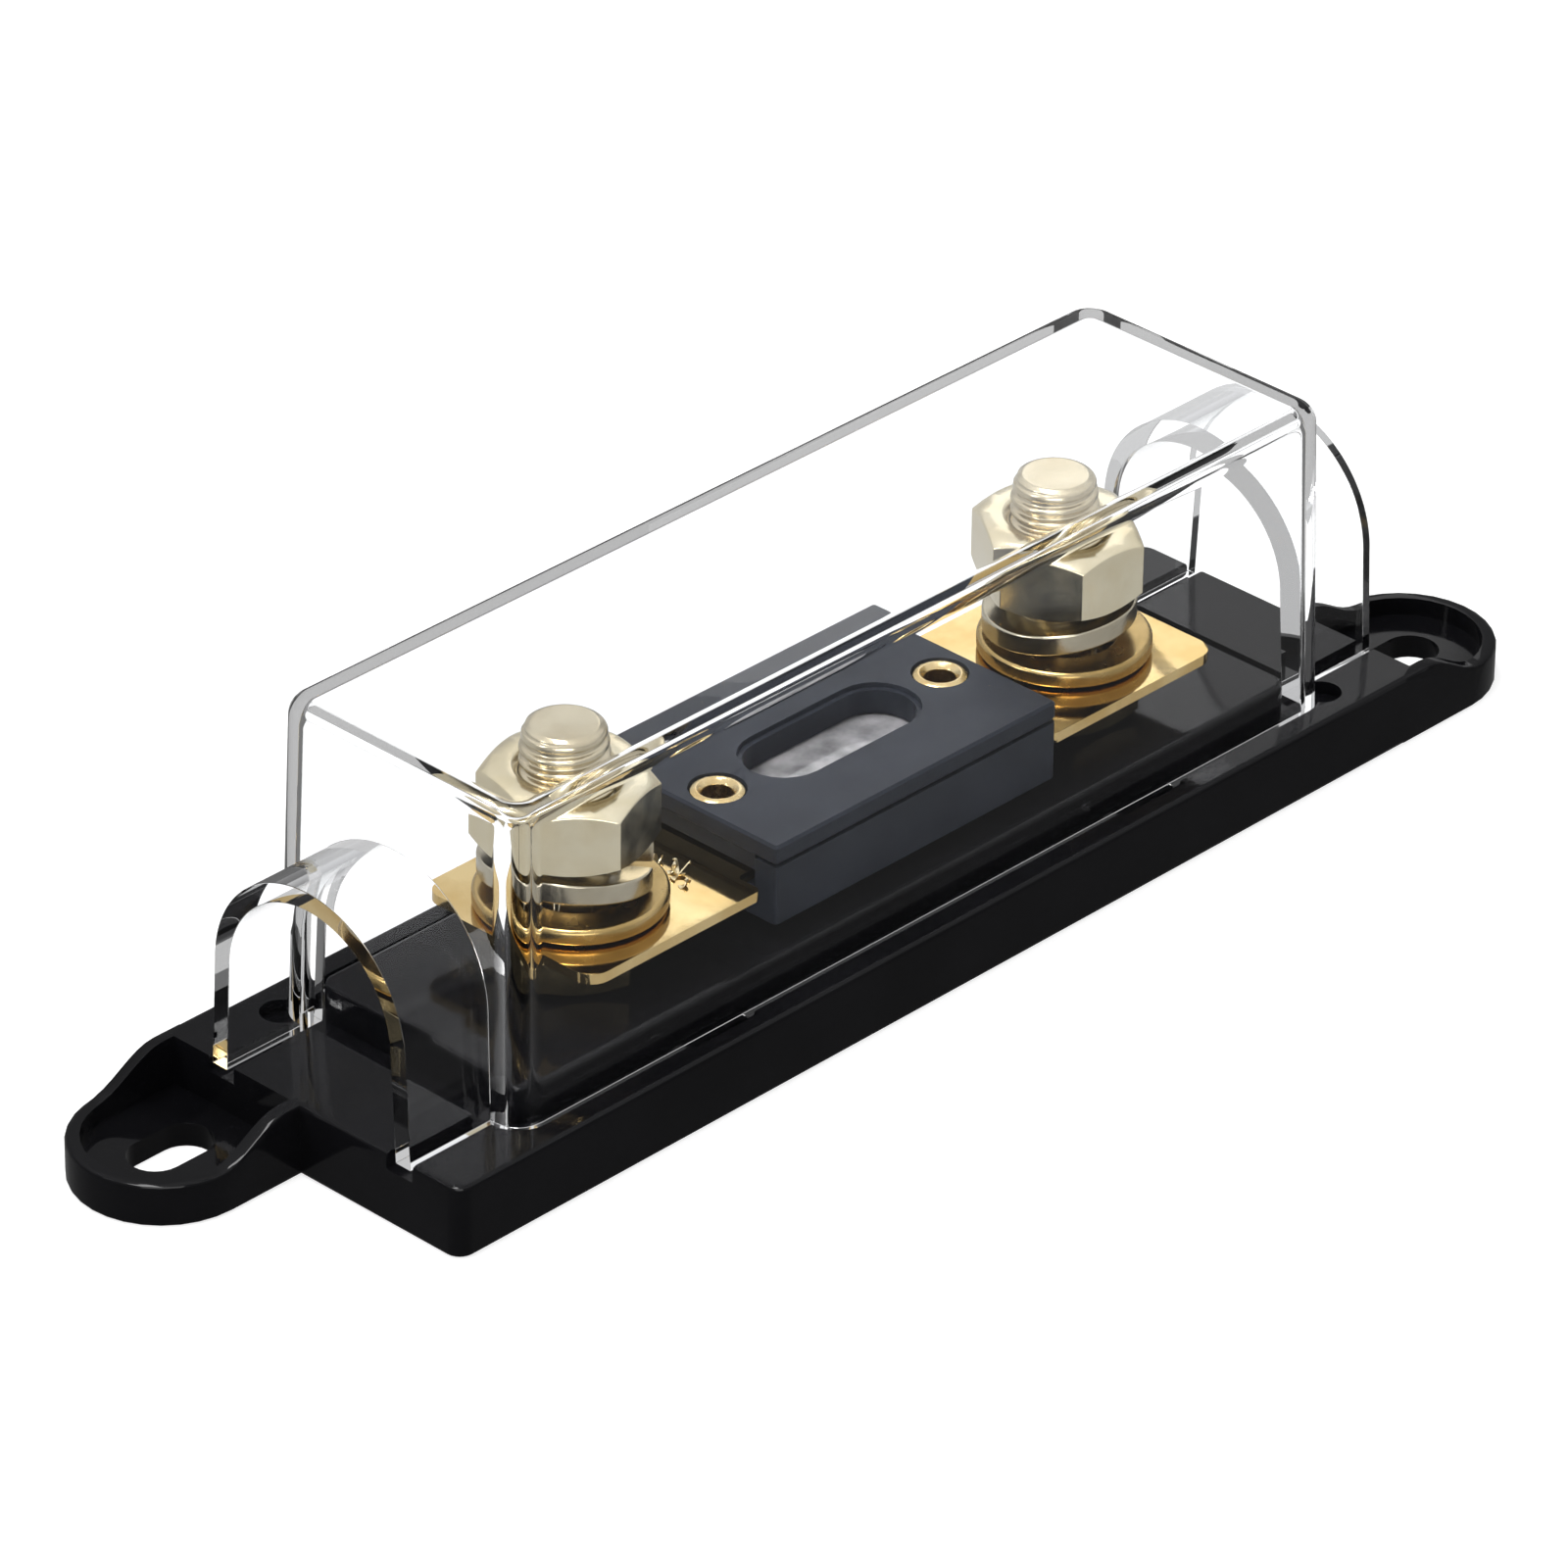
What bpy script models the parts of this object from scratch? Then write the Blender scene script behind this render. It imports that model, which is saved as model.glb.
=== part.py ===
"""Fuse holder for a bolt-down strip fuse, with a lift-off clear cover.

Metres, +Z up. X runs along the holder, the origin is under the middle of the base.
"""

from math import atan2, cos, hypot, pi, radians, sin, sqrt, tan

import bmesh
import bpy
from mathutils import Matrix

MM = 0.001

# Clearances
seat_gap = 0.20 * MM  # between pieces clamped or resting on each other
side_gap = 0.30 * MM  # beside a piece that drops into a groove, hole or slot
thread_gap = 0.30 * MM  # between a stud and what is threaded or slipped over it

# Moulded base
base_length = 123.2 * MM
base_width = 36.2 * MM
base_height = 7.1 * MM
base_corner = 1.6 * MM
base_edge = 0.5 * MM
platform_end_gap = 1.2 * MM  # inside the cover's end walls
platform_side_gap = 1.4 * MM  # inside its long walls
platform_rise = 2.1 * MM
platform_corner = 1.6 * MM
groove_depth = 1.6 * MM
foot_notch_inner = 1.0 * MM  # how far a foot's groove reaches inside the foot
pit_radius = 1.9 * MM
pit_depth = 1.3 * MM
rib = 1.6 * MM
core_depth = 3.6 * MM
core_wall = 1.8 * MM
core_columns = 6
boss_wall = 1.3 * MM

# Fixing ears, one at each end, on opposite sides
ear_reach = 16.4 * MM
ear_width = 16.9 * MM
ear_floor = 2.3 * MM
ear_rim = 1.3 * MM
ear_rim_height = 4.1 * MM
ear_fall = 8.0 * MM  # length over which the rim falls from the base's height
ear_slot_width = 5.2 * MM
ear_slot_length = 8.6 * MM
ear_slot_inset = 9.2 * MM  # from the tip to the slot's middle

# Clear cover
cover_end = 9.6 * MM  # from the base's ends to the cover's box
cover_ledge = 2.7 * MM  # from the base's sides to the cover's
cover_top = 37.6 * MM
cover_wall = 1.8 * MM
cover_draft = 1.4  # degrees that each wall leans inwards
cover_corner = 3.0 * MM
cover_top_round = 1.8 * MM
arch_inset = 3.8 * MM  # from the cover's sides to the arches'
arch_centre = 17.0 * MM
tab_spacing = 55.0 * MM
tab_length = 7.2 * MM
tab_drop = 4.4 * MM
tab_thickness = 1.5 * MM
tab_barb = 0.45 * MM
tab_slot_slack = 0.8 * MM

# Terminals
stud_spacing = 62.0 * MM
stud_diameter = 8.0 * MM
stud_length = 25.2 * MM
stud_chamfer = 0.7 * MM
head_flats = 13.0 * MM
head_height = 5.3 * MM
nut_flats = 13.3 * MM
nut_height = 6.2 * MM
thin_nut_height = 4.4 * MM
nut_chamfer = 30.0  # degrees
washer_diameter = 15.9 * MM
washer_bore = 9.4 * MM
washer_shift = (0.36 * MM, -0.38 * MM)  # of the loose flat washers on their studs
washer_thickness = 1.6 * MM
spring_diameter = 14.0 * MM
spring_thickness = 2.0 * MM
spring_height = 4.1 * MM
spring_split = 10.0  # degrees left open between the ends
spring_lean = 1.3 * MM  # rise of one side, where the loose ring lies aslant
nut_turns = (17.0, 57.5)  # degrees, left and right
thin_nut_turns = (24.5, 55.4)
spring_turns = (-53.0, 38.5)

# Strip fuse
strip_end = 3.5 * MM  # of a blade beyond its slot
strip_side = 5.2 * MM  # from the blades' sides to the cover's
strip_thickness = 1.0 * MM
strip_corner = 2.0 * MM
strip_slot_length = 11.0 * MM
neck_width = 14.5 * MM  # of the strip where it enters the case
shoulder_gaps = (1.3 * MM, 0.3 * MM)  # from the case's ends to the left and right blades
shoulder_round = 0.6 * MM
fuse_shift = 1.1 * MM  # of the whole fuse along its slots
link_length = 14.0 * MM
link_width = 4.5 * MM
link_round = 1.5 * MM
case_length = 35.8 * MM
case_side = 0.5 * MM  # of the case beside a blade
case_below = 3.0 * MM  # from the case's underside to the strip's
case_above = 3.85 * MM  # from the strip's top to the case's
case_wall = 1.5 * MM
case_floor = 1.5 * MM
lid_thickness = 1.9 * MM
blade_notch_margin = 0.9 * MM  # beside the blade where it leaves the case
tongue_recess = 0.35 * MM  # of the lid's tongues behind the case's ends
window_inset = 4.65 * MM  # from the middle of an eyelet
window_width = 7.2 * MM
window_lip = 0.5 * MM
window_depth = 3.05 * MM
pane_thickness = 0.6 * MM
pane_margin = 1.2 * MM
eyelet_inset = 3.7 * MM  # from the end of the case
eyelet_recess = 0.65 * MM  # of the upper flanges in the lid
eyelet_bore = 2.8 * MM
eyelet_wall = 0.45 * MM
eyelet_flange = 5.0 * MM
eyelet_curl = 0.45 * MM

ROUND_SIDES = 48
SMALL_ROUND_SIDES = 24

# Sizes, heights and places that follow
cover_length = base_length - 2 * cover_end
cover_width = base_width - 2 * cover_ledge
platform_length = cover_length - 2 * (cover_wall + platform_end_gap)
platform_width = cover_width - 2 * (cover_wall + platform_side_gap)
arch_radius = cover_width / 2 - arch_inset
strip_width = cover_width - 2 * strip_side
case_width = strip_width + 2 * case_side
stud_x = stud_spacing / 2
strip_length = stud_spacing + strip_slot_length + 2 * strip_end
eyelet_spacing = case_length - 2 * eyelet_inset
window_length = eyelet_spacing - 2 * window_inset
platform_top = base_height + platform_rise
groove_floor = base_height - groove_depth
cover_foot = groove_floor + side_gap
thin_nut_low = platform_top + seat_gap
strip_low = thin_nut_low + thin_nut_height + seat_gap
strip_top = strip_low + strip_thickness
washer_low = strip_top + seat_gap
spring_low = washer_low + washer_thickness + seat_gap
nut_low = spring_low + spring_height + seat_gap
head_low = core_depth - 2.6 * MM
pocket_top = head_low + head_height + seat_gap
case_low = strip_low - case_below
case_top = strip_top + case_above
lid_low = case_top - lid_thickness
pane_top = case_top - window_depth
ear_tip_radius = ear_width / 2
ear_y = base_width / 2 - ear_tip_radius
ear_tip_x = base_length / 2 + ear_reach
ear_slot_x = ear_tip_x - ear_slot_inset
hole_diameter = stud_diameter + 2 * thread_gap


def clear_scene():
    for obj in list(bpy.data.objects):
        bpy.data.objects.remove(obj, do_unlink=True)


def make_collection(name):
    collection = bpy.data.collections.new(name)
    bpy.context.scene.collection.children.link(collection)
    return collection


def make_material(name, colour, roughness, metallic=0.0, transmission=0.0, ior=1.49):
    material = bpy.data.materials.new(name)
    material.use_nodes = True
    shader = material.node_tree.nodes["Principled BSDF"]
    shader.inputs["Base Color"].default_value = (*colour, 1.0)
    shader.inputs["Roughness"].default_value = roughness
    shader.inputs["Metallic"].default_value = metallic
    shader.inputs["Transmission Weight"].default_value = transmission
    shader.inputs["IOR"].default_value = ior
    return material


clear_scene()
parts = make_collection("fuse_holder")
helpers = make_collection("cutters")
helpers.hide_render = True

BLACK_PLASTIC = make_material("black_plastic", (0.012, 0.012, 0.014), 0.12)
FUSE_CASE = make_material("fuse_case", (0.035, 0.038, 0.044), 0.38)
CLEAR_PLASTIC = make_material("clear_plastic", (0.96, 0.97, 0.98), 0.03, 0.0, 1.0)
YELLOW_ZINC = make_material("yellow_zinc", (0.72, 0.64, 0.42), 0.22, 1.0)
GOLD_STRIP = make_material("gold_strip", (0.86, 0.62, 0.24), 0.24, 1.0)
BRASS = make_material("brass", (0.78, 0.60, 0.32), 0.25, 1.0)
GREY_PANE = make_material("grey_pane", (0.55, 0.55, 0.56), 0.15, 0.0, 0.6)


def add_object(name, mesh, material=None, location=(0, 0, 0), turn=0.0):
    """An object in the parts collection, or a hidden helper where it has no material."""
    obj = bpy.data.objects.new(name, mesh)
    obj.location = location
    obj.rotation_euler = (0, 0, radians(turn))
    if material is None:
        helpers.objects.link(obj)
        obj.hide_render = True
        obj.display_type = "WIRE"
    else:
        parts.objects.link(obj)
        mesh.materials.clear()
        mesh.materials.append(material)
    return obj


def finish_bmesh(bm, name):
    bmesh.ops.recalc_face_normals(bm, faces=bm.faces)
    mesh = bpy.data.meshes.new(name)
    bm.to_mesh(mesh)
    bm.free()
    return mesh


def smooth(obj, angle=30.0):
    obj.data.shade_smooth()
    obj.data.set_sharp_from_angle(angle=radians(angle))


def box_mesh(name, low, high):
    """A box between two corners."""
    bm = bmesh.new()
    size = [b - a for a, b in zip(low, high)]
    centre = [(a + b) / 2 for a, b in zip(low, high)]
    place = Matrix.Translation(centre) @ Matrix.Diagonal((*size, 1.0))
    bmesh.ops.create_cube(bm, size=1.0, matrix=place)
    return finish_bmesh(bm, name)


def boxes_mesh(name, corners):
    """Several boxes that don't touch, in one mesh."""
    bm = bmesh.new()
    for low, high in corners:
        size = [b - a for a, b in zip(low, high)]
        centre = [(a + b) / 2 for a, b in zip(low, high)]
        place = Matrix.Translation(centre) @ Matrix.Diagonal((*size, 1.0))
        bmesh.ops.create_cube(bm, size=1.0, matrix=place)
    return finish_bmesh(bm, name)


def cylinder_mesh(name, radius, low, high, sides=ROUND_SIDES, turn=0.0):
    bm = bmesh.new()
    place = Matrix.Translation((0, 0, (low + high) / 2)) @ Matrix.Rotation(radians(turn), 4, "Z")
    bmesh.ops.create_cone(
        bm, cap_ends=True, segments=sides, radius1=radius, radius2=radius,
        depth=high - low, matrix=place,
    )
    return finish_bmesh(bm, name)


def arc(centre, radius, start, end, steps):
    """Points on an arc, from one angle to another in degrees."""
    angles = [radians(start + (end - start) * i / steps) for i in range(steps + 1)]
    return [(centre[0] + radius * cos(a), centre[1] + radius * sin(a)) for a in angles]


def rounded_rectangle(length, width, radius, steps=6):
    x = length / 2 - radius
    y = width / 2 - radius
    return (
        arc((x, y), radius, 0, 90, steps)
        + arc((-x, y), radius, 90, 180, steps)
        + arc((-x, -y), radius, 180, 270, steps)
        + arc((x, -y), radius, 270, 360, steps)
    )


def stadium(length, width, steps=12):
    """A slot's outline, with round ends, long along X."""
    x = (length - width) / 2
    return arc((x, 0), width / 2, -90, 90, steps) + arc((-x, 0), width / 2, 90, 270, steps)


def moved(outline, x, y=0.0):
    return [(px + x, py + y) for px, py in outline]


def plate_mesh(name, outlines, low, high):
    """A flat plate from closed outlines, the inner ones being holes."""
    curve = bpy.data.curves.new(name, "CURVE")
    curve.dimensions = "2D"
    curve.fill_mode = "BOTH"
    curve.extrude = (high - low) / 2
    for outline in outlines:
        spline = curve.splines.new("POLY")
        spline.points.add(len(outline) - 1)
        for point, (x, y) in zip(spline.points, outline):
            point.co = (x, y, 0, 1)
        spline.use_cyclic_u = True
    holder = bpy.data.objects.new(name, curve)
    helpers.objects.link(holder)
    holder.location.z = (low + high) / 2
    bpy.context.view_layer.update()
    graph = bpy.context.evaluated_depsgraph_get()
    mesh = bpy.data.meshes.new_from_object(holder.evaluated_get(graph))
    mesh.transform(holder.matrix_world)
    bpy.data.objects.remove(holder)
    bm = bmesh.new()
    bm.from_mesh(mesh)
    bpy.data.meshes.remove(mesh)
    bmesh.ops.remove_doubles(bm, verts=bm.verts, dist=1e-6)
    bmesh.ops.dissolve_limit(bm, angle_limit=radians(0.1), verts=bm.verts, edges=bm.edges)
    return finish_bmesh(bm, name)


def prism_along_x(name, profile, low, high):
    """A solid with a profile of (y, z) points, drawn out along X."""
    mesh = plate_mesh(name, [profile], low, high)
    # (x, y, z) of the plate becomes (z, x, y) of the prism.
    mesh.transform(Matrix(((0, 0, 1, 0), (1, 0, 0, 0), (0, 1, 0, 0), (0, 0, 0, 1))))
    return mesh


def prism_along_y(name, profile, low, high):
    """A solid with a profile of (x, z) points, drawn out along Y."""
    mesh = plate_mesh(name, [profile], -high, -low)
    # (x, y, z) of the plate becomes (x, -z, y) of the prism.
    mesh.transform(Matrix(((1, 0, 0, 0), (0, 0, -1, 0), (0, 1, 0, 0), (0, 0, 0, 1))))
    return mesh


def turned_mesh(name, profile, sides=ROUND_SIDES):
    """A profile of (radius, z) points, closed and turned about Z by a Screw modifier."""
    mesh = bpy.data.meshes.new(name)
    count = len(profile)
    points = [(r, 0, z) for r, z in profile]
    mesh.from_pydata(points, [(i, (i + 1) % count) for i in range(count)], [])
    holder = bpy.data.objects.new(name, mesh)
    helpers.objects.link(holder)
    screw = holder.modifiers.new("turn", "SCREW")
    screw.steps = sides
    screw.render_steps = sides
    screw.use_merge_vertices = True
    screw.merge_threshold = 1e-6
    bpy.context.view_layer.update()
    graph = bpy.context.evaluated_depsgraph_get()
    turned = bpy.data.meshes.new_from_object(holder.evaluated_get(graph))
    bpy.data.objects.remove(holder)
    bm = bmesh.new()
    bm.from_mesh(turned)
    bpy.data.meshes.remove(turned)
    bmesh.ops.remove_doubles(bm, verts=bm.verts, dist=1e-7)
    return finish_bmesh(bm, name)


def combine(obj, other, operation):
    modifier = obj.modifiers.new(other.name, "BOOLEAN")
    modifier.operation = operation
    modifier.object = other


def cut(obj, mesh, location=(0, 0, 0), turn=0.0):
    combine(obj, add_object(f"cut_{mesh.name}", mesh, None, location, turn), "DIFFERENCE")


def join(obj, mesh, location=(0, 0, 0), turn=0.0):
    combine(obj, add_object(f"join_{mesh.name}", mesh, None, location, turn), "UNION")


def round_edges(obj, width, segments=2, angle=50.0):
    bevel = obj.modifiers.new("round", "BEVEL")
    bevel.width = width
    bevel.segments = segments
    bevel.limit_method = "ANGLE"
    bevel.angle_limit = radians(angle)


def s_curve(start, end, steps=8):
    """Points that ease from one (x, z) to another."""
    points = []
    for i in range(steps + 1):
        t = i / steps
        ease = (1 - cos(pi * t)) / 2
        points.append((start[0] + (end[0] - start[0]) * t, start[1] + (end[1] - start[1]) * ease))
    return points


def ear_outline(inset=0.0):
    """The ear at the -X end on the +Y side, running into the base."""
    radius = ear_tip_radius - inset
    tip = arc((-ear_tip_x + ear_tip_radius, ear_y), radius, 90, 270, 16)
    inner_end = -base_length / 2 + (0 if inset else base_corner + base_edge)
    return tip + [(inner_end, ear_y - radius), (inner_end, ear_y + radius)]


def ear_mesh_object():
    """An ear with a rim that falls in an S-curve to its tip, and a slotted floor."""
    ear = add_object("ear_blank", plate_mesh("ear_blank", [ear_outline()], 0, base_height))
    fall = s_curve(
        (-base_length / 2 - ear_rim, base_height),
        (-base_length / 2 - ear_rim - ear_fall, ear_rim_height),
    )
    far = -ear_tip_x - ear_rim
    above = base_height + ear_rim
    side = base_width
    profile = [(fall[0][0], above)] + fall + [(far, ear_rim_height), (far, above)]
    cut(ear, prism_along_y("ear_fall", profile, -side, side))
    round_edges(ear, base_edge * 0.8, 2)
    cut(ear, plate_mesh("ear_pocket", [ear_outline(ear_rim)], ear_floor, above))
    slot = moved(stadium(ear_slot_length, ear_slot_width), -ear_slot_x, ear_y)
    cut(ear, plate_mesh("ear_slot", [slot], -ear_floor, 2 * ear_floor))
    return ear


def foot_band():
    """The inner and outer distance from the middle of an arch's foot, at the base's top."""
    outer = arch_radius + (arch_centre - cover_foot) * tan(radians(cover_draft) * 2)
    return outer - cover_wall, outer


def make_base():
    body = plate_mesh(
        "base", [rounded_rectangle(base_length, base_width, base_corner)], 0, base_height
    )
    base = add_object("base", body, BLACK_PLASTIC)
    round_edges(base, base_edge, 2)

    ear = ear_mesh_object()
    combine(base, ear, "UNION")
    for cutter_turn in (180.0,):
        twin = ear.copy()
        twin.name = "ear_blank_twin"
        twin.rotation_euler = (0, 0, radians(cutter_turn))
        for modifier in list(twin.modifiers):
            twin.modifiers.remove(modifier)
        helpers.objects.link(twin)
        bpy.context.view_layer.update()
        graph = bpy.context.evaluated_depsgraph_get()
        twin.data = bpy.data.meshes.new_from_object(ear.evaluated_get(graph))
        combine(base, twin, "UNION")

    groove_outer = rounded_rectangle(
        cover_length + 2 * side_gap, cover_width + 2 * side_gap, cover_corner + side_gap
    )
    cut(base, plate_mesh("cover_groove", [groove_outer], groove_floor, base_height + rib))
    platform = rounded_rectangle(platform_length, platform_width, platform_corner)
    platform_mesh = plate_mesh("platform", [platform], groove_floor - rib / 2, platform_top)
    platform_piece = add_object("join_platform", platform_mesh)
    round_edges(platform_piece, base_edge, 2)
    combine(base, platform_piece, "UNION")

    inner, outer = foot_band()
    notch = []
    for end in (-1, 1):
        for side in (-1, 1):
            x = sorted((end * (base_length / 2 + rib), end * (cover_length / 2 - rib)))
            y = sorted((side * (inner - foot_notch_inner), side * (outer + side_gap)))
            notch.append(((x[0], y[0], groove_floor), (x[1], y[1], base_height + rib)))
    cut(base, boxes_mesh("foot_grooves", notch))

    pit_x = cover_length / 2 + side_gap
    pit_y = cover_width / 2 - cover_corner / 2 + side_gap
    pit = cylinder_mesh("pry_pit", pit_radius, base_height - pit_depth, base_height + rib, 24)
    cut(base, pit, (-pit_x, pit_y, 0))
    cut(base, pit.copy(), (pit_x, -pit_y, 0))

    column = (base_length - 2 * core_wall - (core_columns - 1) * rib) / core_columns
    row = base_width / 2 - core_wall - rib / 2
    cells = []
    for i in range(core_columns):
        x = -base_length / 2 + core_wall + i * (column + rib)
        for y in (-rib / 2 - row, rib / 2):
            cells.append(((x, y, -rib), (x + column, y + row, core_depth)))
    cut(base, boxes_mesh("cores", cells))

    pocket_radius = (head_flats / 2 + side_gap) / cos(pi / 6)
    for x in (-stud_x, stud_x):
        boss = cylinder_mesh("stud_boss", pocket_radius + boss_wall, 0, core_depth + rib / 2, 32)
        join(base, boss, (x, 0, 0))
    slots = []
    slot_in = cover_width / 2 - cover_wall - side_gap
    slot_out = cover_width / 2 + tab_slot_slack
    for x in (-tab_spacing / 2, tab_spacing / 2):
        for side in (-1, 1):
            y = sorted((side * slot_in, side * slot_out))
            half = tab_length / 2 + side_gap
            slots.append(((x - half, y[0], -rib), (x + half, y[1], base_height + rib)))
    cut(base, boxes_mesh("tab_slots", slots))
    for x in (-stud_x, stud_x):
        cut(base, cylinder_mesh("head_pocket", pocket_radius, -rib, pocket_top, 6, 30.0), (x, 0, 0))
        hole = cylinder_mesh("stud_hole", hole_diameter / 2, 0, platform_top + rib, 32)
        cut(base, hole, (x, 0, 0))
    smooth(base)
    return base


def tapered_box(name, length, width, low, high, corner, top_round, segments):
    """A box whose walls lean inwards, with round upright and top edges."""
    bm = bmesh.new()
    bmesh.ops.create_cube(bm, size=1.0)
    lean = (high - low) * tan(radians(cover_draft))
    for vertex in bm.verts:
        top = vertex.co.z > 0
        inset = lean if top else 0.0
        vertex.co.x *= length - 2 * inset
        vertex.co.y *= width - 2 * inset
        vertex.co.z = high if top else low
    upright = [e for e in bm.edges if abs(e.verts[0].co.z - e.verts[1].co.z) > 0.5 * (high - low)]
    bmesh.ops.bevel(bm, geom=upright, offset=corner, segments=segments, profile=0.5, affect="EDGES")
    rim = [e for e in bm.edges if all(abs(v.co.z - high) < 1e-7 for v in e.verts)]
    bmesh.ops.bevel(bm, geom=rim, offset=top_round, segments=4, profile=0.5, affect="EDGES")
    return finish_bmesh(bm, name)


def arch_profile(radius, low, steps=24):
    """Legs that spread a little towards their feet, under a half circle."""
    spread = (arch_centre - low) * tan(radians(cover_draft) * 2)
    crown = arc((0, arch_centre), radius, 0, 180, steps)
    return [(radius + spread, low)] + crown + [(-radius - spread, low)]


def tab_profile(side):
    """A snap tab under a long wall, with a small barb on its outer side."""
    outer = cover_width / 2 - side_gap / 2
    inner = outer - tab_thickness
    root = cover_foot + tab_thickness / 2
    tip = cover_foot - tab_drop
    barb_low = tip + tab_thickness * 0.9
    barb_high = barb_low + tab_barb
    points = [
        (inner, root), (inner, tip), (outer - tab_barb, tip),
        (outer + tab_barb, barb_low), (outer, barb_high), (outer, root),
    ]
    return [(side * y, z) for y, z in points]


def make_cover():
    cover = add_object(
        "cover",
        tapered_box("cover", cover_length, cover_width, cover_foot, cover_top,
                    cover_corner, cover_top_round, 6),
        CLEAR_PLASTIC,
    )
    reach = base_length / 2 - side_gap / 2
    join(cover, prism_along_x("arch_outer", arch_profile(arch_radius, cover_foot), -reach, reach))
    below = cover_foot - cover_wall
    lean_below = 2 * cover_wall * tan(radians(cover_draft))
    hollow = tapered_box(
        "cover_hollow", cover_length - 2 * cover_wall + lean_below,
        cover_width - 2 * cover_wall + lean_below, below, cover_top - cover_wall,
        cover_corner - cover_wall, cover_top_round / 3, 3,
    )
    cut(cover, hollow)
    inner = arch_profile(arch_radius - cover_wall, below)
    cut(cover, prism_along_x("arch_inner", inner, -base_length, base_length))
    for x in (-tab_spacing / 2, tab_spacing / 2):
        for side in (-1, 1):
            tab = prism_along_x("snap_tab", tab_profile(side), x - tab_length / 2, x + tab_length / 2)
            join(cover, tab)
    smooth(cover)
    return cover


def hexagon_solid(name, flats, height, bore, both_ends=True):
    """A hexagon prism with the corners of one or both ends turned off, and a bore."""
    corner = flats / 2 / cos(pi / 6)
    face = flats / 2 * 0.95
    drop = (corner - face) * tan(radians(nut_chamfer))
    low_drop = drop if both_ends else 0.0
    low_face = face if both_ends else corner + drop
    wide = corner + 0.05 * flats
    extra = (wide - corner) * tan(radians(nut_chamfer))
    profile = [
        (0, 0), (low_face, 0), (wide, low_drop + extra if both_ends else 0.01 * height),
        (wide, height - drop - extra), (face, height), (0, height),
    ]
    turned = turned_cone(name + "_turned", profile)
    mesh = cylinder_mesh(name, corner, 0, height, 6, 30.0)
    holder = add_object(name + "_blank", mesh)
    combine(holder, add_object(name + "_trim", turned), "INTERSECT")
    if bore:
        cut(holder, cylinder_mesh(name + "_bore", bore / 2, -height, 2 * height, 32))
    return applied(holder, name)


def turned_cone(name, profile):
    """A solid of revolution whose profile starts and ends on the axis."""
    mesh = bpy.data.meshes.new(name)
    points = [(r, 0, z) for r, z in profile]
    mesh.from_pydata(points, [(i, i + 1) for i in range(len(points) - 1)], [])
    holder = bpy.data.objects.new(name, mesh)
    helpers.objects.link(holder)
    screw = holder.modifiers.new("turn", "SCREW")
    screw.steps = ROUND_SIDES
    screw.render_steps = ROUND_SIDES
    screw.use_merge_vertices = True
    screw.merge_threshold = 1e-6
    bpy.context.view_layer.update()
    graph = bpy.context.evaluated_depsgraph_get()
    turned = bpy.data.meshes.new_from_object(holder.evaluated_get(graph))
    bpy.data.objects.remove(holder)
    bm = bmesh.new()
    bm.from_mesh(turned)
    bpy.data.meshes.remove(turned)
    bmesh.ops.remove_doubles(bm, verts=bm.verts, dist=1e-7)
    return finish_bmesh(bm, name)


def applied(obj, name):
    """The mesh that an object's modifiers make."""
    bpy.context.view_layer.update()
    graph = bpy.context.evaluated_depsgraph_get()
    mesh = bpy.data.meshes.new_from_object(obj.evaluated_get(graph))
    mesh.name = name
    return mesh


def settle(obj):
    """Fixes a fuse piece's shape, then slides it with the whole fuse."""
    mesh = applied(obj, obj.name)
    obj.modifiers.clear()
    obj.data = mesh
    obj.location.x += fuse_shift
    smooth(obj)


def make_bolt(name, x):
    """A hexagon bolt that stands head down in its pocket."""
    head = hexagon_solid(name + "_head", head_flats, head_height, 0)
    bolt = add_object(name, head, YELLOW_ZINC, (x, 0, head_low))
    radius = stud_diameter / 2
    top = head_height + stud_length
    shank = turned_cone(name + "_shank", [
        (0, head_height / 2), (radius, head_height / 2), (radius, top - stud_chamfer),
        (radius - stud_chamfer, top), (0, top),
    ])
    join(bolt, shank, (x, 0, head_low))
    smooth(bolt)
    return bolt


def make_nut(name, x, low, height, turn):
    mesh = hexagon_solid(name, nut_flats, height, hole_diameter)
    nut = add_object(name, mesh, YELLOW_ZINC, (x, 0, low), turn)
    smooth(nut)
    return nut


def make_washer(name, x):
    outer = washer_diameter / 2
    inner = washer_bore / 2
    profile = [(inner, 0), (outer, 0), (outer, washer_thickness), (inner, washer_thickness)]
    place = (x + washer_shift[0], washer_shift[1], washer_low)
    washer = add_object(name, turned_mesh(name, profile), YELLOW_ZINC, place)
    smooth(washer)
    return washer


def make_spring_washer(name, x, turn):
    """A square-section ring, cut through and sprung open into one left-hand turn of a helix."""
    bm = bmesh.new()
    inner = hole_diameter / 2
    outer = spring_diameter / 2
    section = [(inner, 0), (outer, 0), (outer, spring_thickness), (inner, spring_thickness)]
    corners = [bm.verts.new((r, 0, z)) for r, z in section]
    bm.faces.new(corners)
    bmesh.ops.spin(
        bm, geom=bm.verts[:] + bm.edges[:] + bm.faces[:], cent=(0, 0, 0), axis=(0, 0, 1),
        dvec=(0, 0, (spring_height - spring_thickness) / ROUND_SIDES),
        angle=radians(spring_split - 360), steps=ROUND_SIDES, use_duplicate=False,
    )
    for vertex in bm.verts:
        vertex.co.z -= spring_lean * vertex.co.y / outer
    mesh = finish_bmesh(bm, name)
    washer = add_object(name, mesh, YELLOW_ZINC, (x, 0, spring_low), turn)
    smooth(washer)
    return washer


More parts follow.
